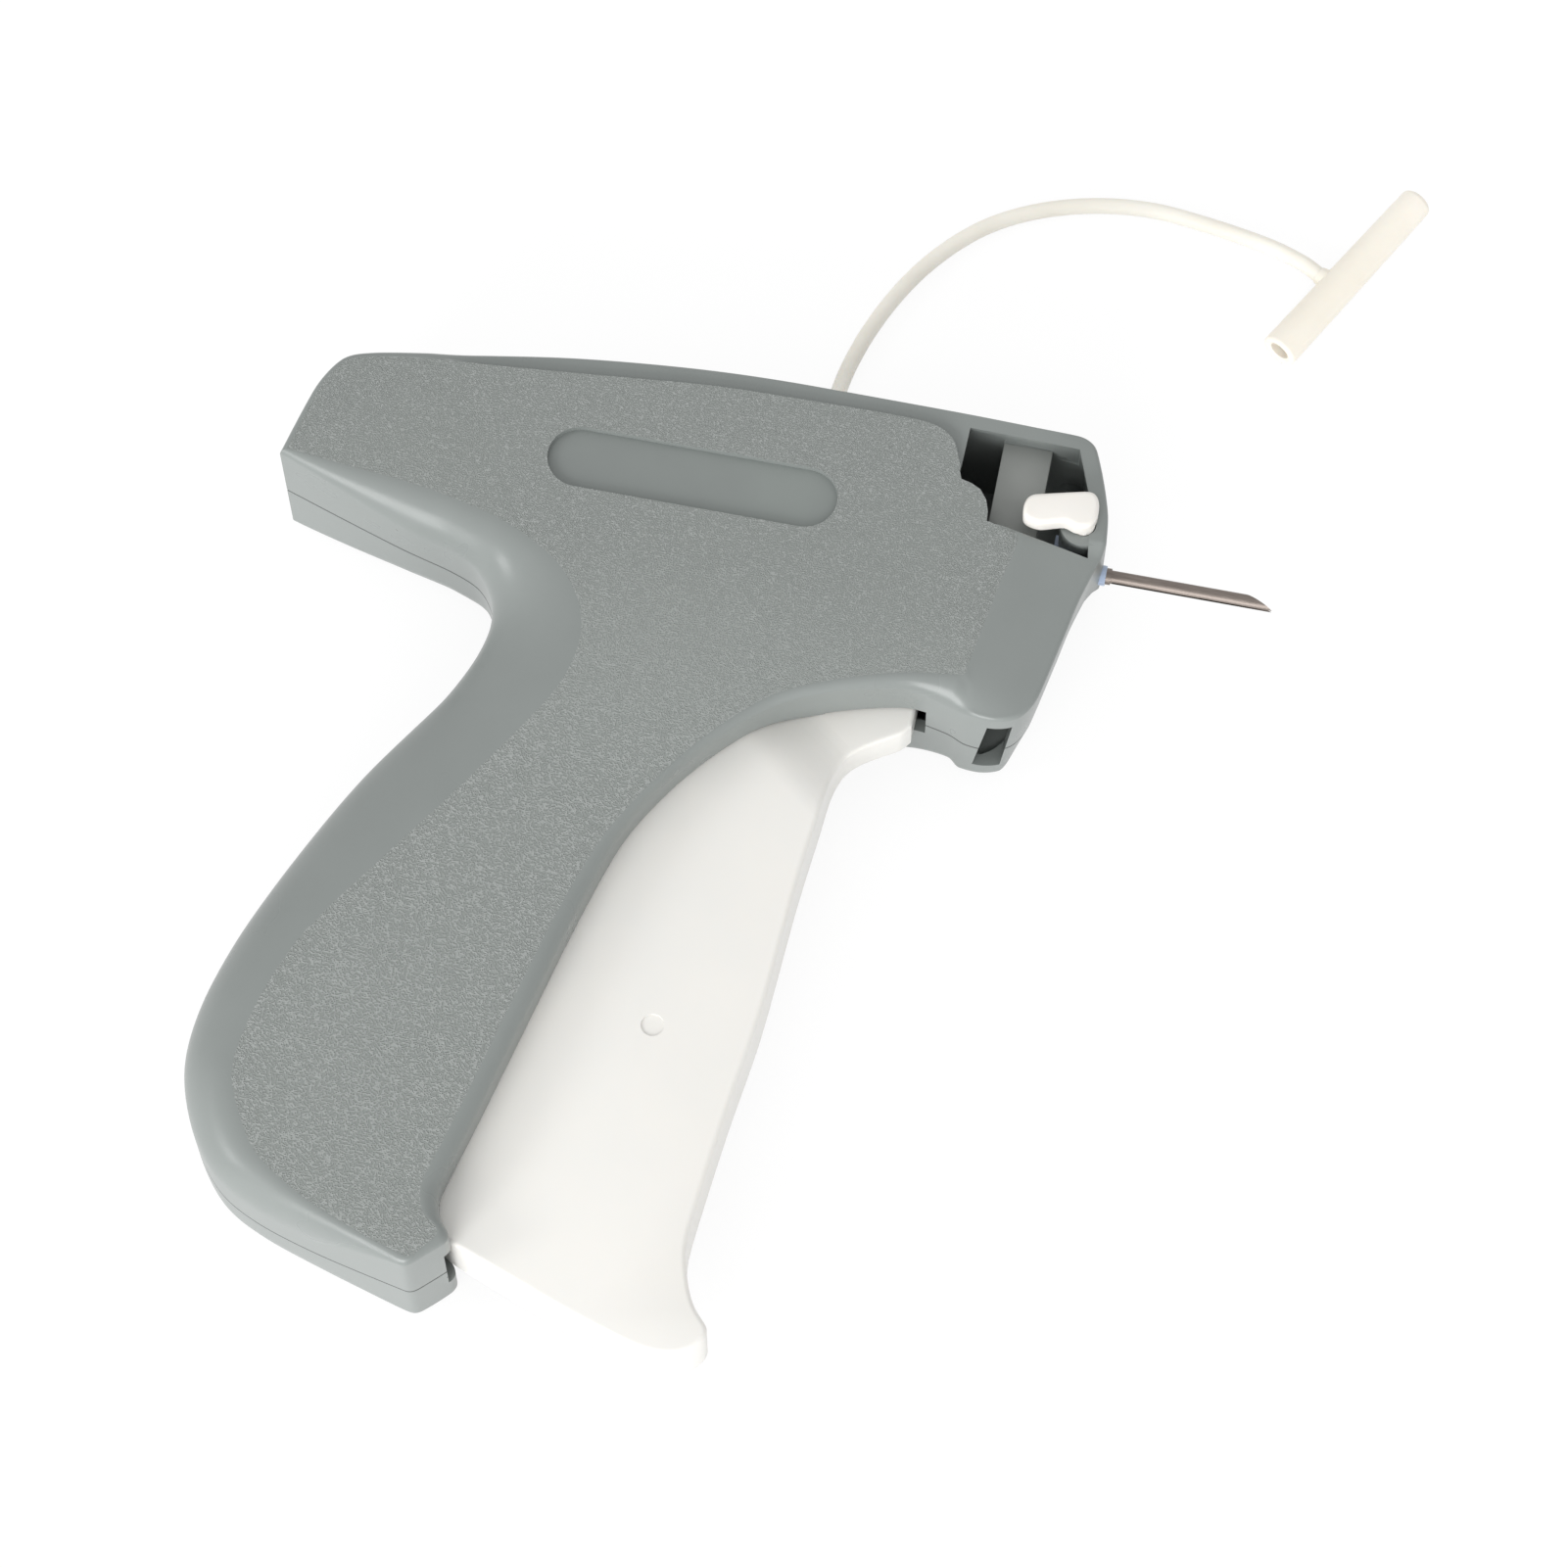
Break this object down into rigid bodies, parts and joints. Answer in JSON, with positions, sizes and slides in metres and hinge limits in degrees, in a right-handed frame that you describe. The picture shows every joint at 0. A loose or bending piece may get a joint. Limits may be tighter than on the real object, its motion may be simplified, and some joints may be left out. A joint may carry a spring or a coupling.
{
  "type": "garment tag attacher",
  "caption": "Hand tool that pushes plastic tag pins through cloth: squeezed trigger, gear-driven slide and rod, hollow needle, feed wheel, lock lever and tethered needle cap.",
  "frame": {"origin": "middle of the tool's bounding box on the table plane, without the tethered cap", "axes": "+X along the needle to its point, +Y up the tool, +Z out of the right side; the tool lies on its left side"},
  "size_m": [0.1686, 0.2197, 0.0279],
  "materials": {
    "shell_grey": "fine pebbled grain, satin",
    "white_plastic": "semi-gloss moulded",
    "ivory_plastic": "unpigmented bearing plastic",
    "steel": "drawn and ground",
    "spring_steel": "hard drawn wire and strip",
    "blue_plastic": "moulded",
    "cord_plastic": "soft satin strand",
    "cap_plastic": "soft satin"
  },
  "bodies": {
    "housing": {"left_shell": "shell_grey", "right_shell": "shell_grey", "shell_screws": "steel", "trigger_pin": "steel", "return_spring": "spring_steel", "gear_axle": "steel", "guide_block": "shell_grey", "feed_wheel_pin": "steel", "pawl_pin": "steel", "pawl_spring": "spring_steel", "stop_spring": "spring_steel", "needle_base": "blue_plastic", "needle": "steel", "knife": "steel", "tether_anchor": "white_plastic", "tether_cord": "cord_plastic", "needle_cap": "cap_plastic"},
    "trigger": {"trigger": "white_plastic"},
    "compound_gear": {"compound_gear": "ivory_plastic"},
    "slide": {"ejector_slide": "ivory_plastic", "push_rod": "steel"},
    "feed_wheel": {"feed_wheel": "ivory_plastic"},
    "feed_pawl": {"feed_pawl": "ivory_plastic"},
    "lock_lever": {"lock_lever": "white_plastic"}
  },
  "joints": [
    {"name": "trigger_swing", "type": "hinge", "parent": "housing", "child": "trigger", "pos_m": [0.021, 0.036, 0.013], "axis": [0, 0, -1], "range_deg": [0, 14], "stiffness_Nm_per_rad": 3, "springref_deg": -8.59, "deforming": ["return_spring"]},
    {"name": "gear_spin", "type": "hinge", "parent": "housing", "child": "compound_gear", "pos_m": [-0.0207, 0.041, 0.013], "axis": [0, 0, -1], "range_deg": [0, 165]},
    {"name": "slide_travel", "type": "slide", "parent": "housing", "child": "slide", "axis": [1, 0, 0], "range_m": [0, 0.0395]},
    {"name": "feed_wheel_spin", "type": "hinge", "parent": "housing", "child": "feed_wheel", "pos_m": [0.032, 0.051, 0.013], "axis": [0, 0, 1], "continuous": true},
    {"name": "feed_pawl_lift", "type": "hinge", "parent": "housing", "child": "feed_pawl", "pos_m": [0.026, 0.0435, 0.013], "axis": [0, 0, 1], "range_deg": [0, 12], "stiffness_Nm_per_rad": 0.01, "springref_deg": -11.46, "deforming": ["pawl_spring"]},
    {"name": "lock_lever_turn", "type": "hinge", "parent": "housing", "child": "lock_lever", "pos_m": [0.0466, 0.0625, 0.025], "axis": [0, 0, -1], "range_deg": [0, 90]}
  ],
  "couplings": [
    {"joint": "gear_spin", "follows": "trigger_swing", "ratio": 11.5},
    {"joint": "slide_travel", "follows": "trigger_swing", "m_per_rad": 0.161}
  ]
}
